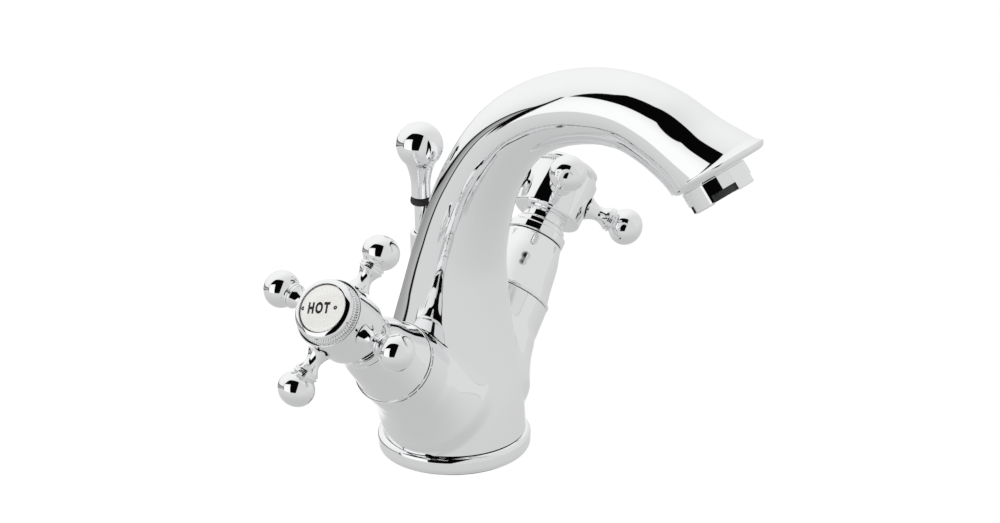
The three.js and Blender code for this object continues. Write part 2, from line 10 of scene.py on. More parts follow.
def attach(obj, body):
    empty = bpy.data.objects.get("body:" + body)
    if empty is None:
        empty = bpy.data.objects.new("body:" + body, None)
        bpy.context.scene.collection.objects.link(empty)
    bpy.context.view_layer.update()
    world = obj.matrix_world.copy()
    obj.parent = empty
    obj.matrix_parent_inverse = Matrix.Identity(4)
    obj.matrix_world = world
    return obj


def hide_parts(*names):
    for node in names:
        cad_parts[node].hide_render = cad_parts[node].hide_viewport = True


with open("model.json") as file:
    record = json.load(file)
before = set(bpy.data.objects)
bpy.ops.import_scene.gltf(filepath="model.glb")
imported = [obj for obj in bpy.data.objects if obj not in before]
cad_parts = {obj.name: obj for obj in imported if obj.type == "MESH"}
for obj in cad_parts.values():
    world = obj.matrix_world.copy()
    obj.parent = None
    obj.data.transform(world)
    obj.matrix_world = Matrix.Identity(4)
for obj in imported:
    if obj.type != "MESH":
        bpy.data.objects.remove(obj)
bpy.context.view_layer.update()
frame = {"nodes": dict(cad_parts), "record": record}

scene = bpy.context.scene
scene.view_settings.view_transform = "Standard"
mm = 0.001  # all sizes below are in millimetres

# The camera stands on the front left, azimuth degrees from straight ahead, and looks down a little.
cameraSettings = {"azimuth": 54.62, "elevation": 23.75, "roll": -1.10, "distance": 2021.6,
                  "aim": (6.97, -16.24, 71.6), "lens": 209.1, "sensor": 36.0}


# right, up and back of a viewer: back points from the object to the viewer
def viewAxes(azimuth, elevation, roll=0.0):
    a, e, r = radians(azimuth), radians(elevation), radians(roll)
    back = np.array([-sin(a) * cos(e), -cos(a) * cos(e), sin(e)])
    right = np.array([cos(a), -sin(a), 0.0])
    up = np.cross(back, right)
    return cos(r) * right + sin(r) * up, cos(r) * up - sin(r) * right, back


# a frame whose Z points back along a view, as cameras and lamps need it
def facing(axes, place):
    return Matrix([[*(axis[i] for axis in axes), place[i]] for i in range(3)] + [[0, 0, 0, 1]])


def makeCamera(s):
    axes = viewAxes(s["azimuth"], s["elevation"], s["roll"])
    place = (np.array(s["aim"]) + s["distance"] * axes[2]) * mm
    data = bpy.data.cameras.new("camera")
    data.lens = s["lens"]
    data.sensor_width = s["sensor"]
    data.clip_start = 0.05
    obj = bpy.data.objects.new("camera", data)
    obj.matrix_world = facing(axes, place)
    scene.collection.objects.link(obj)
    scene.camera = obj


makeCamera(cameraSettings)
print("camera placed")


# adds nodes to a tree and joins them: a socket given as a value becomes a link; a ramp is a smooth step
# between two values
class NodeMaker:
    def __init__(self, tree):
        self.tree = tree

    def add(self, kind, inputs=None, **props):
        node = self.tree.nodes.new(kind)
        for key, value in props.items():
            setattr(node, key, value)
        for key, value in (inputs or {}).items():
            self.set(node, key, value)
        return node

    def set(self, node, key, value):
        if isinstance(value, bpy.types.NodeSocket):
            self.tree.links.new(value, node.inputs[key])
        else:
            node.inputs[key].default_value = value

    def math(self, operation, a, b=0.0):
        return self.add("ShaderNodeMath", {0: a, 1: b}, operation=operation).outputs[0]

    def ramp(self, value, low, high, start=0.0, end=1.0):
        inputs = {"Value": value, "From Min": low, "From Max": high, "To Min": start, "To Max": end}
        return self.add("ShaderNodeMapRange", inputs, interpolation_type="SMOOTHSTEP").outputs["Result"]

    def mix(self, factor, a, b):
        return self.add("ShaderNodeMix", {0: factor, 2: a, 3: b}, data_type="FLOAT").outputs[0]


# The room round the object. Directions are (azimuth, elevation): azimuth 0 is the camera's side,
# positive to its right. Behind the sides everything is a white tent; the front is open and dark, with a
# grey wall to the right, a bright lamp box to the left and a low grey screen further round.
roomSettings = {
    "tent": (0.76, 0.97), "dark": 0.002, "wall": 0.72, "lamp": (0.90, 1.06), "ground": (0.57, 0.71),
    "screen": (0.60, 0.30), "soft": 0.010,
    "wallEdge": ((-5.0, -4.0), (33.0, 57.0)), "tentEdge": ((-88.0, 60.0), (-30.0, 78.0)), "sideEdge": -88.0,
    "lampInner": ((-38.0, -6.0), (-46.0, 46.0)), "lampTop": ((-45.0, 43.0), (-90.0, 22.5)),
    "lampOuter": ((-89.0, 22.0), (-80.0, -9.0)), "lampRim": (0.02, 0.014), "lampFoot": (-0.14, -0.12),
    "screenTop": ((-140.0, -10.0), (-88.0, 7.5)), "screenFoot": ((-172.0, -22.0), (-110.0, -9.0)),
    "screenLines": (0.020, 0.015), "screenDepth": 0.20,
    "groundDepth": (-1.0, -0.1), "groundEnd": (-0.10, -0.085),
    # where each is brightest, and the cosines from there between which it fades
    "tentTurn": (-150.0, 35.0), "tentSpread": (0.2, 0.97),
    "lampTurn": (-60.0, 6.0), "lampSpread": (0.78, 1.0),
    "glow": 0.30, "glowTurn": (-175.0, -15.0), "glowSpread": (0.88, 0.99),
    "floorSize": 2200.0, "floorDrop": 0.2, "floorGlow": 0.94, "shown": 1.0,
    "fill": 6.0, "fillSize": 600.0, "fillFar": 1100.0, "fillView": (62.62, 38.0),
}


# unit vector: the camera's side turned by azimuth about the vertical, then raised by elevation
def direction(azimuth, elevation):
    right, _, back = viewAxes(cameraSettings["azimuth"], 0.0)
    a, e = radians(azimuth), radians(elevation)
    return cos(e) * (cos(a) * back + sin(a) * right) + np.array([0.0, 0.0, sin(e)])


def makeWorld(s):
    world = bpy.data.worlds.new("studio")
    world.use_nodes = True
    world.node_tree.nodes.clear()
    n = NodeMaker(world.node_tree)
    ray = n.add("ShaderNodeTexCoord").outputs["Generated"]

    def along(vector):
        inputs = {0: ray, 1: tuple(vector)}
        return n.add("ShaderNodeVectorMath", inputs, operation="DOT_PRODUCT").outputs["Value"]

    # height of the view ray over the plane that holds two directions, positive on the left of the line
    # from the first to the second
    def over(edge):
        normal = np.cross(direction(*edge[0]), direction(*edge[1]))
        return along(normal / np.linalg.norm(normal))

    def leftOf(edge):
        return n.ramp(over(edge), -s["soft"], s["soft"])

    # a dark line where a height is nearly zero
    def line(value, width):
        return n.ramp(n.math("ABSOLUTE", value), 0.6 * width, 1.4 * width, 1.0, 0.0)

    height = along((0, 0, 1))
    tent = n.ramp(along(direction(*s["tentTurn"])), *s["tentSpread"], *s["tent"])
    front = n.ramp(along(direction(s["sideEdge"] + 90, 0)), -s["soft"], s["soft"])
    front = n.math("MULTIPLY", front, n.math("SUBTRACT", 1.0, leftOf(s["tentEdge"])))
    light = n.mix(front, tent, s["dark"])
    wall = n.math("MULTIPLY", n.math("SUBTRACT", 1.0, leftOf(s["wallEdge"])), front)
    light = n.mix(wall, light, s["wall"])
    # the screen: darker towards its top, with a dark line above and below
    behind = n.ramp(along(direction(s["sideEdge"] - 90, 0)), -s["soft"], s["soft"])
    behind = n.math("MULTIPLY", behind, n.ramp(along(direction(-90, 0)), 0.0, 0.05))
    topHeight, footHeight = over(s["screenTop"]), over(s["screenFoot"])
    screen = n.math("MULTIPLY", n.ramp(topHeight, -0.01, 0.0, 1.0, 0.0), n.ramp(footHeight, -0.01, 0.0))
    shade = n.ramp(topHeight, -s["screenDepth"], 0.0, *s["screen"])
    light = n.mix(n.math("MULTIPLY", screen, behind), light, shade)
    topLine, footLine = s["screenLines"]
    lines = n.math("MAXIMUM", line(topHeight, topLine), line(footHeight, footLine))
    # the ground, brighter far behind on the left
    low = n.ramp(height, *s["groundDepth"], *s["ground"])
    glow = n.ramp(along(direction(*s["glowTurn"])), *s["glowSpread"], 0.0, s["glow"])
    low = n.math("ADD", low, glow)
    underFoot = n.math("MULTIPLY", behind, n.ramp(footHeight, -0.01, 0.0))
    isLow = n.ramp(height, *s["groundEnd"], 1.0, 0.0)
    isLow = n.math("MULTIPLY", isLow, n.math("SUBTRACT", 1.0, underFoot))
    light = n.mix(isLow, light, low)
    lampHeight = over(s["lampOuter"])
    lamp = n.math("MULTIPLY", leftOf(s["lampInner"]), leftOf(s["lampTop"]))
    lamp = n.math("MULTIPLY", lamp, n.ramp(height, *s["lampFoot"]))
    rimOut, rimWidth = s["lampRim"]
    rim = n.math("MULTIPLY", lamp, line(n.math("ADD", lampHeight, rimOut), rimWidth))
    lamp = n.math("MULTIPLY", lamp, n.ramp(lampHeight, -0.01, 0.0))
    bright = n.ramp(along(direction(*s["lampTurn"])), *s["lampSpread"], *s["lamp"])
    light = n.mix(lamp, light, bright)
    lines = n.math("MAXIMUM", n.math("MULTIPLY", lines, behind), rim)
    light = n.mix(lines, light, s["dark"])
    light = n.mix(n.add("ShaderNodeLightPath").outputs["Is Camera Ray"], light, s["shown"])
    grey = n.add("ShaderNodeCombineColor", {0: light, 1: light, 2: light})
    background = n.add("ShaderNodeBackground", {"Color": grey.outputs[0]})
    out = n.add("ShaderNodeOutputWorld")
    n.set(out, 0, background.outputs[0])
    scene.world = world


# the floor is pale and takes a faint shadow, and only the camera sees it
def makeFloor(s):
    half, low = s["floorSize"] / 2 * mm, -s["floorDrop"] * mm
    mesh = bpy.data.meshes.new("floor")
    corners = [(-half, -half, low), (half, -half, low), (half, half, low), (-half, half, low)]
    mesh.from_pydata(corners, [], [(0, 1, 2, 3)])
    floor = bpy.data.objects.new("floor", mesh)
    scene.collection.objects.link(floor)
    material = bpy.data.materials.new("pale floor")
    material.use_nodes = True
    material.node_tree.nodes.clear()
    n = NodeMaker(material.node_tree)
    matt = n.add("ShaderNodeBsdfDiffuse", {"Color": (0.10, 0.10, 0.10, 1.0)})
    glow = n.add("ShaderNodeEmission", {"Strength": s["floorGlow"]})
    both = n.add("ShaderNodeAddShader", {0: matt.outputs[0], 1: glow.outputs[0]})
    clear = n.add("ShaderNodeBsdfTransparent")
    shown = n.add("ShaderNodeLightPath").outputs["Is Camera Ray"]
    out = n.add("ShaderNodeOutputMaterial")
    seen = n.add("ShaderNodeMixShader", {0: shown, 1: clear.outputs[0], 2: both.outputs[0]})
    n.set(out, 0, seen.outputs[0])
    mesh.materials.append(material)


# a wide soft light by the camera, which polished metal does not mirror
def makeFill(s):
    data = bpy.data.lights.new("fill", "AREA")
    data.shape = "DISK"
    data.size = s["fillSize"] * mm
    data.energy = s["fill"]
    obj = bpy.data.objects.new("fill", data)
    axes = viewAxes(*s["fillView"])
    obj.matrix_world = facing(axes, s["fillFar"] * mm * axes[2])
    obj.visible_glossy = False
    scene.collection.objects.link(obj)


makeFill(roomSettings)
makeWorld(roomSettings)
makeFloor(roomSettings)
print("room ready")


# Wiping marks: stretched noise gives a roughness between Least and Most, broad noise dulls by Film,
# fine noise is the Height for a bump.
def makeMarks():
    group = bpy.data.node_groups.new("wiping marks", "ShaderNodeTree")
    for name in ("Scale", "Least", "Most", "Film"):
        group.interface.new_socket(name, in_out="INPUT", socket_type="NodeSocketFloat")
    for name in ("Roughness", "Bright", "Height"):
        group.interface.new_socket(name, in_out="OUTPUT", socket_type="NodeSocketFloat")
    n = NodeMaker(group)
    given = n.add("NodeGroupInput").outputs
    place = n.add("ShaderNodeTexCoord").outputs["Object"]
    metres = n.add("ShaderNodeMapping", {"Vector": place, "Scale": (1.0, 1.0, 2.2)}).outputs[0]
    fine = n.add("ShaderNodeTexNoise", {"Vector": metres, "Scale": given["Scale"], "Detail": 6.0})
    broad = n.add("ShaderNodeTexNoise", {"Vector": place, "Scale": 22.0, "Detail": 2.0})
    span = n.math("SUBTRACT", given["Most"], given["Least"])
    rough = n.math("ADD", given["Least"], n.math("MULTIPLY", n.ramp(fine.outputs[0], 0.35, 0.75), span))
    bright = n.math("SUBTRACT", 1.0, n.math("MULTIPLY", broad.outputs[0], given["Film"]))
    out = n.add("NodeGroupOutput")
    for key, value in (("Roughness", rough), ("Bright", bright), ("Height", fine.outputs[0])):
        n.set(out, key, value)
    return group


marks = makeMarks()
finishSettings = {  # colour, metal, least and most roughness, mark scale per metre, film, bump, coat
    "chrome": ((0.93, 0.935, 0.94), 1.0, 0.015, 0.045, 140.0, 0.03, 0.0, 0.0),
    "porcelain": ((0.82, 0.815, 0.795), 0.0, 0.10, 0.20, 500.0, 0.04, 0.004, 0.6),
    "enamel": ((0.012, 0.012, 0.013), 0.0, 0.25, 0.40, 900.0, 0.1, 0.0, 0.3),
    "rubber": ((0.018, 0.018, 0.019), 0.0, 0.50, 0.75, 1500.0, 0.4, 0.03, 0.0),
    "brass": ((0.80, 0.60, 0.30), 1.0, 0.18, 0.38, 700.0, 0.2, 0.01, 0.0),
    "steel": ((0.62, 0.63, 0.64), 1.0, 0.22, 0.45, 600.0, 0.15, 0.01, 0.0),
    "ceramic": ((0.88, 0.86, 0.81), 0.0, 0.15, 0.30, 800.0, 0.08, 0.003, 0.0),
    "plastic": ((0.84, 0.86, 0.88), 0.0, 0.35, 0.50, 800.0, 0.06, 0.01, 0.0),
    "darkPlastic": ((0.022, 0.023, 0.025), 0.0, 0.30, 0.48, 900.0, 0.1, 0.01, 0.0),
}


# a Principled finish whose tint and roughness come from the wiping marks
def makeFinish(name, color, metal, least, most, scale, film, bump, coat):
    material = bpy.data.materials.new(name)
    material.use_nodes = True
    n = NodeMaker(material.node_tree)
    shader = material.node_tree.nodes["Principled BSDF"]
    inputs = {"Scale": scale, "Least": least, "Most": most, "Film": film}
    worn = n.add("ShaderNodeGroup", node_tree=marks)
    for key, value in inputs.items():
        worn.inputs[key].default_value = value
    tint = [n.math("MULTIPLY", worn.outputs["Bright"], part) for part in color]
    n.set(shader, "Base Color", n.add("ShaderNodeCombineColor", dict(enumerate(tint))).outputs[0])
    n.set(shader, "Roughness", worn.outputs["Roughness"])
    shader.inputs["Metallic"].default_value = metal
    shader.inputs["Coat Weight"].default_value = coat
    shader.inputs["Coat Roughness"].default_value = 0.04
    if bump:
        raised = n.add("ShaderNodeBump", {"Height": worn.outputs["Height"], "Distance": bump * mm})
        n.set(shader, "Normal", raised.outputs[0])
    return material


finishes = {name: makeFinish(name, *values) for name, values in finishSettings.items()}
print("finishes ready")


# welds a mesh, turns its faces outwards, smooths it and makes it a piece on a body
def makePiece(name, mesh, finish, body, stands, sharp=35.0):
    work = bmesh.new()
    work.from_mesh(mesh)
    bmesh.ops.remove_doubles(work, verts=work.verts, dist=2e-6)
    bmesh.ops.dissolve_degenerate(work, edges=work.edges, dist=1e-7)
    bmesh.ops.recalc_face_normals(work, faces=work.faces)
    if work.calc_volume(signed=True) < 0:
        bmesh.ops.reverse_faces(work, faces=work.faces)
    work.to_mesh(mesh)
    work.free()
    mesh.shade_smooth()
    mesh.set_sharp_from_angle(angle=radians(sharp))
    mesh.materials.append(finishes[finish])
    obj = bpy.data.objects.new(name, mesh)
    scene.collection.objects.link(obj)
    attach(obj, body)
    if stands:
        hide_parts(*stands)
    return obj


# quads between the rows of a grid of points, joined round its columns; rows close on themselves if looped
def gridMesh(name, grid, looped=False):
    rows, columns = grid.shape[:2]
    index = np.arange(rows * columns).reshape(rows, columns)
    index = np.concatenate([index, index[:, :1]], axis=1)
    if looped:
        index = np.concatenate([index, index[:1]], axis=0)
    quads = np.stack([index[:-1, :-1], index[:-1, 1:], index[1:, 1:], index[1:, :-1]], axis=-1)
    mesh = bpy.data.meshes.new(name)
    mesh.from_pydata((grid.reshape(-1, 3) * mm).tolist(), [], quads.reshape(-1, 4).tolist())
    return mesh


# (radius, height, fillet) corners: each becomes an arc between two close points that keep the flats flat
def rounded(profile, steps=5, support=0.05):
    points = []
    for i, (r, z, fillet) in enumerate(profile):
        here = np.array([r, z], float)
        if not fillet:
            points.append(here)
            continue
        before = np.array(profile[i - 1][:2]) - here
        after = np.array(profile[(i + 1) % len(profile)][:2]) - here
        u, v = before / np.linalg.norm(before), after / np.linalg.norm(after)
        half = 0.5 * np.arccos(np.clip(u @ v, -1, 1))
        reach = min(fillet / tan(half), 0.48 * np.linalg.norm(before), 0.48 * np.linalg.norm(after))
        middle = here + (u + v) / np.linalg.norm(u + v) * reach / cos(half)
        first, last = here + u * reach - middle, here + v * reach - middle
        points.append(middle + first + u * min(support, reach))
        for t in np.linspace(0, 1, steps + 1):
            spoke = (1 - t) * first + t * last
            points.append(middle + spoke / np.linalg.norm(spoke) * np.linalg.norm(first))
        points.append(middle + last + v * min(support, reach))
    return np.array(points)


# smooth run through (radius, height) points, as Catmull-Rom, given back as corners without a fillet
def flowing(points, steps=6):
    rows = through(np.array(points, float), np.linspace(0, len(points) - 1, (len(points) - 1) * steps + 1))
    return [(r, z, 0) for r, z in rows]


# Catmull-Rom value of a table at each place t, where row k is met at t = k
def through(rows, t):
    at = np.clip(np.floor(t).astype(int), 0, len(rows) - 2)
    f = (t - at)[:, None]
    last = len(rows) - 1
    p0, p1, p2, p3 = (rows[np.clip(at + k, 0, last)] for k in (-1, 0, 1, 2))
    return 0.5 * (2 * p1 + (p2 - p0) * f + (2 * p0 - 5 * p1 + 4 * p2 - p3) * f ** 2
                  + (3 * p1 - p0 - 3 * p2 + p3) * f ** 3)


# points at radius r(row), angle t(column) and height z(row), moved into a frame
def turned(profile, place, columns=96):
    points = rounded(profile)
    t = np.linspace(0, 2 * pi, columns, endpoint=False)
    r, z = points[:, :1], points[:, 1:]
    local = np.stack([r * np.cos(t), r * np.sin(t), z + 0 * t], axis=-1)
    return moved(local, place)


# points turned and shifted by a frame: its turn times the point, plus its origin
def moved(points, place):
    m = np.array(place)
    return points @ m[:3, :3].T + m[:3, 3]


# a piece turned from a profile, closed on itself where it has a bore
def lathed(name, profile, place, finish, body, stands, columns=96, sharp=35.0):
    looped = profile[0][0] > 0 or profile[-1][0] > 0
    mesh = gridMesh(name, turned(profile, place, columns), looped)
    return makePiece(name, mesh, finish, body, stands, sharp)


# the mesh of an object as its modifiers or its lettering leave it
def meshOf(obj):
    bpy.context.view_layer.update()
    return bpy.data.meshes.new_from_object(obj.evaluated_get(bpy.context.evaluated_depsgraph_get()))


# takes closed cutters out of a piece
def cutOut(obj, cutters):
    joined = bmesh.new()
    for mesh in cutters:
        joined.from_mesh(mesh)
    bmesh.ops.remove_doubles(joined, verts=joined.verts, dist=2e-6)
    bmesh.ops.recalc_face_normals(joined, faces=joined.faces)
    tool = bpy.data.meshes.new("cutter")
    joined.to_mesh(tool)
    joined.free()
    holder = bpy.data.objects.new("cutter", tool)
    scene.collection.objects.link(holder)
    cut = obj.modifiers.new("cut", "BOOLEAN")
    cut.operation = "DIFFERENCE"
    cut.solver = "EXACT"
    cut.object = holder
    done = meshOf(obj)
    obj.modifiers.clear()
    done.name = obj.data.name
    obj.data = done
    bpy.data.objects.remove(holder)


# a round cutter along Z of a frame
def roundHole(place, radius, low, high, columns):
    profile = [(0, low, 0), (radius, low, 0), (radius, high, 0), (0, high, 0)]
    return gridMesh("hole", turned(profile, place, columns))


# Where the valves and the outlet are: a valve frame has the handle's middle as origin and the outward
# axis as Z; the outlet frame has the lip's plane as Z 0, water leaving down -Z.
valveSettings = {"tilt": 42.0, "x": 65.5, "z": 72.6}
outletSettings = {"forward": 109.0, "height": 127.28, "tilt": 37.0}
sides = {"hot": {"sign": -1, "turn": 78.6}, "cold": {"sign": 1, "turn": 34.6}}
wordTilt = 14.5  # degrees that the words are turned towards the front


# a valve's frame: out by x, up by z, leaning outwards
def valvePlace(sign):
    lean = Matrix.Rotation(sign * radians(90 - valveSettings["tilt"]), 4, "Y")
    return Matrix.Translation((sign * valveSettings["x"], 0, valveSettings["z"])) @ lean


outletPlace = (Matrix.Translation((0, -outletSettings["forward"], outletSettings["height"]))
               @ Matrix.Rotation(radians(-outletSettings["tilt"]), 4, "X"))
level = Matrix.Identity(4)

bodySettings = {
    "columns": 256, "rows": (170, 190), "spigot": 21.5, "footLow": 7.1, "footRadius": 24.8,
    "column": [(7.1, 25.4), (22.0, 24.6), (42.0, 22.0)],
    "rootHeight": 62.0, "rise": 81.6, "reach": 109.0,
    # share of the reach, share of the rise, heading above level, radius
    "neck": [(0.02, 0, 86, 18.4), (0.05, 0.22, 77, 15.8), (0.12, 0.5, 65, 13.9), (0.23, 0.74, 50, 12.9),
             (0.37, 0.89, 31, 12.7), (0.54, 0.98, 13, 13.1), (0.69, 1, -4, 13.4), (0.81, 0.965, -18, 14.1),
             (0.93, 0.89, -33, 14.9)],
    "lip": (19.0, 16.0), "lipHeading": -53.0, "lipClear": 2.6, "beak": 4.1, "lipEdge": 2.4, "socket": 11.6,
    "socketDepth": 9.3,
    # valve bosses: height of the axes on the middle line, distance and radius of their faces, side slope
    "axisHeight": 13.62, "face": 46.14, "faceRadius": 15.0, "flare": 0.05,
    # width of the rounding under and over a boss, where it starts by angle off the axis, and where the
    # boss fades out by angle and by height
    "blendUnder": 17.0, "blendOver": 3.0, "blendFrom": (18.0, 27.0), "fade": (48.0, 90.0), "fadeDepth": 40.0,
    "bossTop": (62.0, 68.0), "snap": 0.62,
    # x, y, radius, low, high: the lift rod's hole, the fixing stud's thread and the two inlets
    "holes": [(0, 12, 4.35, 65.7, 111.6), (0, -12, 4.3, -1, 14), (-11, 2, 5, -1, 24), (11, 2, 5, -1, 24)],
}


# The casting's skin: oval sections set square to a bent centre line, from the foot to the lip. Centre,
# heading and radii run smoothly through the table, and a section's point is the centre + depth * cosine
# of the angle along its up + width * sine of it across.
def bodyGrid(s):
    slope = radians(outletSettings["tilt"])
    rows = [(0, z, 90, r, r) for z, r in s["column"]]
    rows += [(f * s["reach"], s["rootHeight"] + h * s["rise"], a, r, r) for f, h, a, r in s["neck"]]
    ahead, high = outletSettings["forward"], outletSettings["height"]
    lip = (ahead + s["beak"] * cos(slope), high + s["beak"] * sin(slope), s["lipHeading"], *s["lip"])
    rows = np.array(rows + [lip], float)
    root, last = len(s["column"]), len(rows) - 1
    lower, upper = s["rows"]
    fine = np.concatenate([np.linspace(0, root, lower), np.linspace(root, last, upper)[1:]])
    sections = through(rows, fine)
    sections = sections[np.hypot(sections[:, 0] - lip[0], sections[:, 1] - lip[1]) > s["lipClear"]]
    t = np.linspace(0, 2 * pi, s["columns"], endpoint=False)

    def ring(section):
        forward, height, heading, depth, width = (np.asarray(v)[..., None] for v in section)
        up = depth * np.cos(t)
        a = np.radians(heading)
        return np.stack([width * np.sin(t), -(forward - up * np.sin(a)), height + up * np.cos(a)], axis=-1)

    skin = withBosses(ring(sections.T), s)
    # the lip's edge is a quarter round
    edge = []
    heading = radians(lip[2])
    for b in np.linspace(0, pi / 2, 9):
        back, less = s["lipEdge"] * (1 - sin(b)), s["lipEdge"] * (1 - cos(b))
        edge.append(ring((lip[0] - back * cos(heading), lip[1] - back * sin(heading), lip[2],
                          lip[3] - less, lip[4] - less)))
    inner = edge[-1]
    # from the edge across the lip's face to the aerator's socket, up its wall and in to its middle
    socket = np.stack([s["socket"] * np.sin(t), -s["socket"] * np.cos(t), 0 * t], axis=-1)
    mouth = moved(socket, outletPlace)
    deep = moved(socket - np.array([0, 0, -s["socketDepth"]]), outletPlace)
    end = moved(np.array([0, 0, s["socketDepth"]]) + 0 * socket, outletPlace)
    closing = [inner + f * (mouth - inner) for f in (0.03, 0.5, 0.97)] + [mouth]
    closing += [mouth + f * (deep - mouth) for f in (0.03, 0.5, 1.0)] + [end]
    # the spigot that stands in the base ring
    spigot, low = s["spigot"], s["footLow"]
    corners = [(0, 0), (0.5 * spigot, 0), (spigot - 0.1, 0), (spigot, 0.1), (spigot, low - 0.05),
               (spigot + 0.05, low), (s["footRadius"], low)]
    foot = [np.stack([r * np.sin(t), r * np.cos(t), z + 0 * t], axis=-1) for r, z in corners]
    return np.concatenate([np.array(foot), skin, np.array(edge), np.array(closing)])


# 0 up to low, 1 from high, and x * x * (3 - 2 * x) between
def smoothStep(value, low, high):
    x = np.clip((value - low) / (high - low), 0, 1)
    return x * x * (3 - 2 * x)


# The two bosses in directions from the middle: a flat face across the axis, a cone round it, and the
# smooth maximum of boss and column: the larger + (blend - difference) squared / (4 * blend).
def withBosses(skin, s):
    middle = np.array([0, 0, s["axisHeight"]])
    ray = skin - middle
    far = np.linalg.norm(ray, axis=-1)
    unit = ray / far[..., None]
    slope = radians(valveSettings["tilt"])
    side = np.where(skin[..., 0] < 0, -1.0, 1.0)
    axis = np.stack([side * cos(slope), 0 * side, sin(slope) + 0 * side], axis=-1)
    over = np.stack([-side * sin(slope), 0 * side, cos(slope) + 0 * side], axis=-1)
    along = np.clip((unit * axis).sum(-1), -1, 1)
    angle = np.arccos(along)
    # directions next to the face's edge are put exactly on it, so that the edge is a clean circle
    rim = np.arctan2(s["faceRadius"], s["face"])
    across = unit - along[..., None] * axis
    across /= np.maximum(np.linalg.norm(across, axis=-1), 1e-9)[..., None]
    snap = np.abs(angle - rim) < radians(s["snap"])
    angle = np.where(snap, rim, angle)
    onRim = np.cos(angle)[..., None] * axis + np.sin(angle)[..., None] * across
    unit = np.where(snap[..., None], onRim, unit)
    slant = s["flare"]
    cone = (s["faceRadius"] + slant * s["face"]) / (np.sin(angle) + slant * np.cos(angle))
    flat = s["face"] / np.maximum(np.cos(angle), 0.05)
    boss = np.where(angle <= rim + 1e-6, flat, cone)
    boss = boss - s["fadeDepth"] * smoothStep(np.degrees(angle), *s["fade"])
    upper = smoothStep((across * over).sum(-1), -0.1, 0.85)
    blend = s["blendUnder"] + (s["blendOver"] - s["blendUnder"]) * upper
    blend = blend * smoothStep(np.degrees(angle), *s["blendFrom"]) + 1e-3
    rounding = np.maximum(blend - np.abs(far - boss), 0) ** 2 / (4 * blend)
    reach = np.maximum(far, boss) + rounding
    reach = far + (reach - far) * (1 - smoothStep(skin[..., 2], *s["bossTop"]))
    return middle + unit * reach[..., None]


# the skin as one closed piece, with its holes cut
def makeBody(s):
    mesh = gridMesh("castBody", bodyGrid(s))
    obj = makePiece("castBody", mesh, "chrome", "mixer_body", ["cast_body"], 40.0)
    cutOut(obj, [roundHole(Matrix.Translation((x, y, 0)), r, *span, 48) for x, y, r, *span in s["holes"]])


makeBody(bodySettings)
print("casting ready")

ringSettings = {"radius": 27.0, "height": 6.8, "edge": 2.6, "inner": 21.8, "chamfer": 0.4,
                "seal": (22.5, 25.5, 2.1)}


# a collar with a rounded outer edge and a groove below for its seal; the foot's edge is a quarter ellipse,
# radius + sine and height - cosine of the angle
def makeBaseRing(s):
    inner, outer, high = s["seal"]
    turns = np.linspace(0, pi / 2, 10)
    foot = [(outer + (s["radius"] - outer) * sin(v), s["edge"] * (1 - 0.98 * cos(v)), 0) for v in turns]
    profile = [(s["inner"], 0, 0), (inner, 0, 0), (inner, high, 0), (outer, high, 0), *foot,
               (s["radius"], s["height"], s["edge"]), (s["inner"] + s["chamfer"], s["height"], 0.3),
               (s["inner"], s["height"] - s["chamfer"], 0)]
    lathed("baseRing", profile, level, "chrome", "mixer_body", ["base_ring"], 160)


makeBaseRing(ringSettings)

shroudSettings = {
    "bell": [(14.45, -40.1), (14.0, -38.2), (13.35, -35.0), (12.75, -31.0), (12.2, -27.2), (11.75, -24.8),
             (11.0, -22.2), (10.45, -20.2)],
    "rim": 15.1, "low": -41.7, "band": 1.3, "step": 14.6, "shoulder": 10.3, "top": -19.0, "hole": 6.3,
    "wall": 1.6,
}
bonnetSettings = {"radius": 10.4, "collar": 9.0, "low": -18.7, "step": -15.3, "top": -13.1, "hole": 6.3}


# bell-shaped cover, its profile turned about the valve: a rounded band at the rim, a flowing side and a
# rounded shoulder, with the same side again one wall further in
def makeShroud(name, place, s):
    side = [(r, z, 0) for r, z in through(np.array(s["bell"]), np.linspace(0, len(s["bell"]) - 1, 50))]
    top, wall, bandTop = s["top"], s["wall"], s["low"] + s["band"]
    inside = [(r - wall, min(z, top - wall), 0) for r, z in s["bell"][::-1]]
    profile = [(s["rim"] - wall, s["low"], 0), (s["rim"], s["low"], 0.5), (s["rim"], bandTop, 0.5),
               (s["step"], bandTop, 0.12), *side, (s["shoulder"], top, 0.8), (s["hole"], top, 0),
               (s["hole"], top - wall, 0), *inside]
    lathed(name + "Shroud", profile, place, "chrome", "mixer_body", [name + "_shroud"], 128)


# two stepped rings turned as one, with a bore for the spindle
def makeBonnet(name, place, s):
    profile = [(s["hole"], s["low"], 0), (s["radius"], s["low"], 0.5), (s["radius"], s["step"], 0.6),
               (s["collar"], s["step"], 0.15), (s["collar"], s["top"], 0.5), (s["hole"], s["top"], 0)]
    lathed(name + "BonnetRing", profile, place, "chrome", "mixer_body", [name + "_bonnet_ring"], 128)


# the frame of an arm in its handle: Z runs out along the arm
def armTurn(number):
    return Matrix.Rotation(number * pi / 2, 4, "Z") @ Matrix.Rotation(pi / 2, 4, "Y")


hubSettings = {
    "barrel": [(12.58, -5.0), (12.62, -2.0), (12.58, 2.0)], "ends": 12.4, "front": 7.5, "back": -9.5,
    "neck": (7.8, 7.9), "neckLow": -12.8, "bore": 4.3, "boreTop": -1.0, "cavity": 9.6, "floor": 3.6,
    "screwHole": 2.2, "socket": 2.7, "socketSpan": (8.5, 15.0),
}


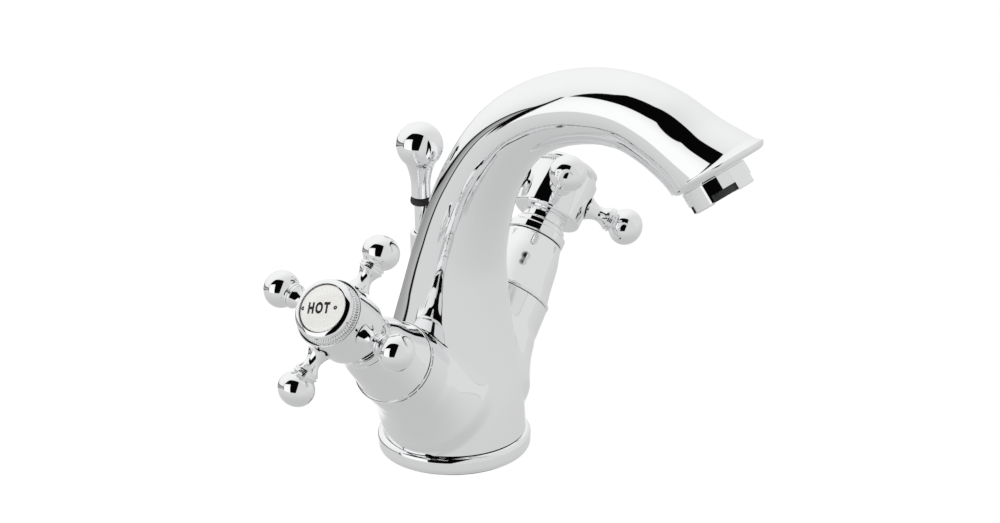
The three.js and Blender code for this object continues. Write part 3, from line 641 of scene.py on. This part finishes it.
# turned barrel with slightly rounded sides, a neck behind, a hollow in front and a socket for each arm
def makeHub(name, place, body, s):
    neckFoot, neckTop = s["neck"]
    inside = [(s["cavity"], s["front"], 0.1), (s["cavity"], s["floor"], 0), (s["screwHole"], s["floor"], 0),
              (s["screwHole"], s["boreTop"], 0), (s["bore"], s["boreTop"], 0)]
    profile = [(s["bore"], s["neckLow"], 0), (neckFoot, s["neckLow"], 0.4), (neckTop, s["back"], 0.5),
               (s["ends"], s["back"], 1.3), *[(r, z, 0) for r, z in s["barrel"]],
               (s["ends"], s["front"], 0.35), *inside]
    obj = lathed(name + "Hub", profile, place, "chrome", body, [name + "_hub"], 160)
    cutOut(obj, [roundHole(place @ armTurn(k), s["socket"], *s["socketSpan"], 32) for k in range(4)])


armSettings = {
    "length": 27.3, "ball": (6.6, 6.1), "ballFrom": -50.0, "stud": 2.4, "studSpan": (8.8, 12.72),
    "waist": [(4.3, 12.72), (3.9, 13.3), (3.25, 14.5), (2.8, 15.8), (2.7, 16.9), (3.0, 18.1), (3.55, 19.2),
              (4.2, 20.2)],
    "flange": (4.35, 20.35, 20.95), "ring": (4.45, 21.35, 22.05), "groove": 3.9,
}


# turned arm: a flared root flows through a waist into a flange, then a ring, then a ball a little
# shorter than it is wide, radius * cosine out and height * sine along
def makeArm(name, number, place, body, s):
    inside, start = s["studSpan"]
    width, length = s["ball"]
    t = np.radians(np.linspace(s["ballFrom"], 90, 32))
    ball = [(width * cos(a), s["length"] + length * sin(a), 0) for a in t[:-1]]
    flange, flangeLow, flangeTop = s["flange"]
    ring, ringLow, ringTop = s["ring"]
    groove = s["groove"]
    profile = [(0, inside, 0), (s["stud"], inside, 0.3), (s["stud"], start, 0), (s["waist"][0][0], start, 0),
               *flowing(s["waist"]), (flange, flangeLow, 0.1), (flange, flangeTop, 0.15),
               (groove, flangeTop + 0.05, 0), (groove, ringLow - 0.05, 0), (ring, ringLow, 0.2),
               (ring, ringTop, 0.2), (groove + 0.1, ringTop + 0.1, 0), *ball, (0, s["length"] + length, 0)]
    stands = [f"{name}_arm_{number + 1}"]
    lathed(f"{name}Arm{number + 1}", profile, place @ armTurn(number), "chrome", body, stands, 72)


bezelSettings = {
    "radius": 11.3, "low": 7.8, "beadTop": 9.6, "beads": 72, "beadHeight": 0.5, "slant": 0.4,
    "beadRows": 12, "barrel": 0.55, "beadSwell": 0.15, "columnsPerBead": 8,
    "dome": [(10.55, 9.75), (10.9, 9.95), (11.02, 10.4), (11.0, 10.9), (10.85, 11.35), (10.5, 11.75),
             (10.0, 12.08), (9.5, 12.32), (9.1, 12.46)],
    "top": 12.5, "mouth": 8.9, "seat": 9.3, "ledge": 7.5, "spigot": (9.3, 4.5),
}


# Ring round the disc: its lower band swells into beads, radius + height of a rounded wave in the angle,
# with the wave's phase growing with height so that the beads lean; above it a low dome falls from the mouth.
def makeBezel(name, place, body, s):
    beadRows = s["beadRows"]
    share = np.linspace(0, 1, beadRows + 1)
    low, high = s["low"], s["beadTop"]
    bottom = s["radius"] - s["beadHeight"]
    band = [(bottom - s["barrel"] * (2 * f - 1) ** 2, low + f * (high - low)) for f in share]
    dome = [(r, z) for r, z, _ in flowing(s["dome"], 4)]
    spigot, deep = s["spigot"]
    mouth, top = s["mouth"], s["top"]
    outline = np.array([(s["ledge"], deep), (spigot, deep), (spigot, low), *band, *dome,
                        (mouth + 0.03, top - 0.04), (mouth, top - 0.15), (mouth, s["seat"]),
                        (s["ledge"], s["seat"])])
    t = np.linspace(0, 2 * pi, s["beads"] * s["columnsPerBead"], endpoint=False)
    swell = np.zeros(len(outline))
    swell[3:4 + beadRows] = np.sqrt(np.clip(1 - (2 * share - 1) ** 2, 0, 1))
    lean = np.zeros(len(outline))
    lean[3:4 + beadRows] = s["slant"] * (2 * share - 1)
    wave = np.abs(np.cos(0.5 * (s["beads"] * t[None, :] + 2 * pi * lean[:, None]))) ** 0.8
    r = outline[:, :1] + (s["beadHeight"] + s["beadSwell"]) * swell[:, None] * wave
    local = np.stack([r * np.cos(t), r * np.sin(t), outline[:, 1:] + 0 * t], axis=-1)
    mesh = gridMesh(name + "Bezel", moved(local, place), True)
    makePiece(name + "Bezel", mesh, "chrome", body, [name + "_bezel"], 50.0)


discSettings = {
    "radius": 8.6, "low": 9.6, "edge": 12.0, "crown": 12.46, "roundFrom": 8.1,
    "letterHeight": 4.2, "wordWidth": 8.4, "bold": 0.048, "spacing": 1.3, "ink": 0.05, "sink": 0.1,
    "dots": 6.3, "shift": -1.15, "dotRadius": 0.7, "dotHole": 0.2,
}


# height of the glaze: from the crown down to the edge by the fourth power of the radius
def glazeHeight(r, s):
    return s["crown"] - (s["crown"] - s["edge"]) * (r / s["radius"]) ** 4


# slightly crowned glazed disc, the glaze's height turned about the valve, with a rounded edge
def makeDisc(name, place, body, s):
    crown = [(r, glazeHeight(r, s), 0) for r in np.linspace(s["roundFrom"], 0, 16)]
    profile = [(0, s["low"], 0), (s["radius"], s["low"], 0.1), (s["radius"], s["edge"] - 0.1, 0.3), *crown]
    lathed(name + "IndexDisc", profile, place, "porcelain", body, [name + "_index_disc"], 96)


# the side's name laid on the glaze: each point keeps its place in the plane and takes the glaze's height
def makeWord(name, place, body, s, right, up):
    curve = bpy.data.curves.new(name + "Word", "FONT")
    curve.body = name.upper()
    curve.align_x = "CENTER"
    curve.align_y = "CENTER"
    curve.size = 1.0
    curve.offset = s["bold"]
    curve.extrude = 0.01
    curve.space_character = s["spacing"]
    holder = bpy.data.objects.new("text", curve)
    scene.collection.objects.link(holder)
    mesh = meshOf(holder)
    bpy.data.objects.remove(holder)
    flat = np.zeros(3 * len(mesh.vertices))
    mesh.vertices.foreach_get("co", flat)
    flat = flat.reshape(-1, 3)
    middle = (flat.max(0) + flat.min(0)) / 2
    size = np.array([s["wordWidth"], s["letterHeight"], s["ink"] + s["sink"]])
    flat = (flat - middle) / np.ptp(flat, axis=0) * size
    flat[:, 0] += s["shift"]
    local = flat[:, :1] * right + flat[:, 1:2] * up
    local[:, 2] = glazeHeight(np.hypot(flat[:, 0], flat[:, 1]), s) + flat[:, 2]
    mesh.vertices.foreach_set("co", (moved(local, place) * mm).ravel())
    makePiece(name + "Word", mesh, "enamel", body, [], 30.0)


# a flat ring on each side of the word
def makeDots(name, place, body, s, right):
    thick = s["ink"]
    ring = [(s["dotHole"], -thick, 0), (s["dotRadius"], -thick, 0), (s["dotRadius"], thick, 0.02),
            (s["dotHole"], thick, 0.02)]
    for number, x in enumerate((s["shift"] - s["dots"], s["shift"] + s["dots"])):
        dot = Matrix.Translation((x * right[0], x * right[1], glazeHeight(abs(x), s)))
        lathed(f"{name}Dot{number + 1}", ring, place @ dot, "enamel", body, [], 28)


for name, side in sides.items():
    place = valvePlace(side["sign"])
    turnedPlace = place @ Matrix.Rotation(radians(side["turn"]), 4, "Z")
    body = name + "_handle"
    makeShroud(name, place, shroudSettings)
    makeBonnet(name, place, bonnetSettings)
    makeHub(name, turnedPlace, body, hubSettings)
    for number in range(4):
        makeArm(name, number, turnedPlace, body, armSettings)
    makeBezel(name, place, body, bezelSettings)
    # the word's right and up in the valve's own frame
    along, aside = side["sign"] * cos(radians(wordTilt)), sin(radians(wordTilt))
    right = np.array([aside, along, 0.0])
    up = np.array([-along, aside, 0.0])
    makeDisc(name, place, body, discSettings)
    makeWord(name, place, body, discSettings, right, up)
    makeDots(name, place, body, discSettings, right)
    print(name, "handle ready")


liftSettings = {
    "y": 12.0, "rod": 2.4, "low": -60.0, "top": 92.3, "thread": 2.0, "play": 0.3,
    "ball": 8.25, "ballHeight": 111.6, "ballFrom": -46.0, "boreDepth": 2.0, "threadDepth": 4.0, "shank": 3.4,
    # knob's taper: more than the shank's radius, height over the rod's top
    "taper": [(0, 0.6), (0, 3.2), (0.12, 6.2), (0.75, 9.4), (1.5, 11.9)],
    "ring": (3.8, 2.6), "ringFlat": 0.35, "bush": (2.7, 4.2, 66.0, 79.0),
}


# knob: a ball, radius * cosine out and radius * sine up, that tapers into a shank like a pear; below it a
# rubber ring, half an ellipse round the rod, the plain rod itself and its guide
def makeLift(s):
    place = Matrix.Translation((0, s["y"], 0))
    top, middle, radius, bore = s["top"], s["ballHeight"], s["ball"], s["thread"] + s["play"]
    taper = through(np.array([(s["shank"] + more, top + z) for more, z in s["taper"]]), np.linspace(0, 4, 30))
    turns = np.radians(np.linspace(s["ballFrom"], 90, 40))[:-1]
    ball = [(radius * cos(v), middle + radius * sin(v), 0) for v in turns]
    deep, mouth = middle - s["boreDepth"], top + s["play"]
    knob = [(0, deep, 0), (bore, deep, 0), (bore, mouth, 0), (s["shank"], mouth, 0.3),
            *[(r, z, 0) for r, z in taper], *ball, (0, middle + radius, 0)]
    lathed("liftKnob", knob, place, "chrome", "lift_assembly", ["lift_knob"], 128)
    end = middle - s["threadDepth"]
    rod = [(0, s["low"], 0), (s["rod"], s["low"], 0.5), (s["rod"], top, 0.1), (s["thread"], top, 0),
           (s["thread"], end, 0), (0, end, 0)]
    lathed("liftRod", rod, place, "chrome", "lift_assembly", ["lift_rod"], 48)
    outer, high = s["ring"]
    inner = s["rod"] + s["play"]
    start = inner + s["ringFlat"]
    half = [(start + (outer - start) * cos(b), top - high / 2 + high / 2 * sin(b), 0)
            for b in np.radians(np.linspace(-90, 90, 13))]
    ring = [(inner, top - high, 0), *half, (inner, top, 0)]
    lathed("liftStopRing", ring, place, "rubber", "lift_assembly", ["lift_stop_ring"], 48)
    hole, outside, low, tall = s["bush"]
    bush = [(hole, low, 0), (outside, low, 0), (outside, tall, 0.5), (hole, tall, 0.2)]
    lathed("rodBush", bush, place, "chrome", "mixer_body", ["rod_bush"], 48)


makeLift(liftSettings)
print("lift rod ready")

aeratorSettings = {
    "radius": 12.0, "below": 8.3, "gap": 0.3, "thread": 11.3, "threadHeight": 7.0, "bore": 10.95,
    "ledge": 10.8, "ledgeHeight": 4.4, "notches": 4, "notchWidth": 9.4, "notchHeight": 3.0,
}


# turned ring under the lip with wide notches cut evenly round its lower edge
def makeAerator(s):
    low, high = -s["below"], -s["gap"]
    ledge = low + s["ledgeHeight"]
    top = s["threadHeight"]
    profile = [(s["ledge"], low, 0.2), (s["radius"], low, 0.6), (s["radius"], high, 0.4),
               (s["thread"], high, 0), (s["thread"], top, 0.4), (s["bore"], top, 0), (s["bore"], ledge, 0),
               (s["ledge"], ledge, 0)]
    obj = lathed("aeratorHousing", profile, outletPlace, "chrome", "mixer_body", ["aerator_housing"], 144)
    notches = []
    for k in range(s["notches"]):
        work = bmesh.new()
        bmesh.ops.create_cube(work, size=1.0)
        half = Matrix.Diagonal((s["radius"], s["notchWidth"], 2 * s["notchHeight"], 1.0))
        turn = Matrix.Rotation(2 * pi * (k + 0.5) / s["notches"], 4, "Z")
        shift = Matrix.Translation((s["radius"], 0, low))
        work.transform(Matrix.Scale(mm, 4) @ outletPlace @ turn @ shift @ half)
        mesh = bpy.data.meshes.new("notch")
        work.to_mesh(mesh)
        work.free()
        notches.append(mesh)
    cutOut(obj, notches)


insertSettings = {
    "radius": 9.7, "rim": (-4.2, -0.6), "basket": 10.5, "foot": -7.9, "ribs": 6, "ribSpan": (0.9, 10.0),
    "ribDepth": 0.8, "ribSlope": 0.08,
}


# flow straightener: a turned dark basket with round ribs under it, each rib a step up and down in height
def makeInsert(s):
    foot = s["foot"]
    low, high = s["rim"]
    under = [(0, foot, 0)]
    for k, r in enumerate(np.linspace(*s["ribSpan"], 2 * s["ribs"])):
        steps = (foot, foot + s["ribDepth"])
        under += [(r, steps[k % 2], 0), (r + s["ribSlope"], steps[1 - k % 2], 0)]
    profile = [*under, (s["basket"], foot, 0.3), (s["basket"], low, 0.2), (s["radius"], low, 0),
               (s["radius"], high, 0.2), (0, high, 0)]
    lathed("aeratorInsert", profile, outletPlace, "darkPlastic", "mixer_body", ["aerator_insert"], 96)


makeAerator(aeratorSettings)
makeInsert(insertSettings)
print("outlet ready")


# nodes that keep their CAD mesh get the finish of their record slot
def finishKept():
    slotOf = {entry["node"]: entry["material_slot"] for entry in frame["record"]["subparts"]}
    for node, obj in frame["nodes"].items():
        obj.data.materials.clear()
        obj.data.materials.append(finishes[slotOf[node]])


finishKept()
print("kept nodes finished")
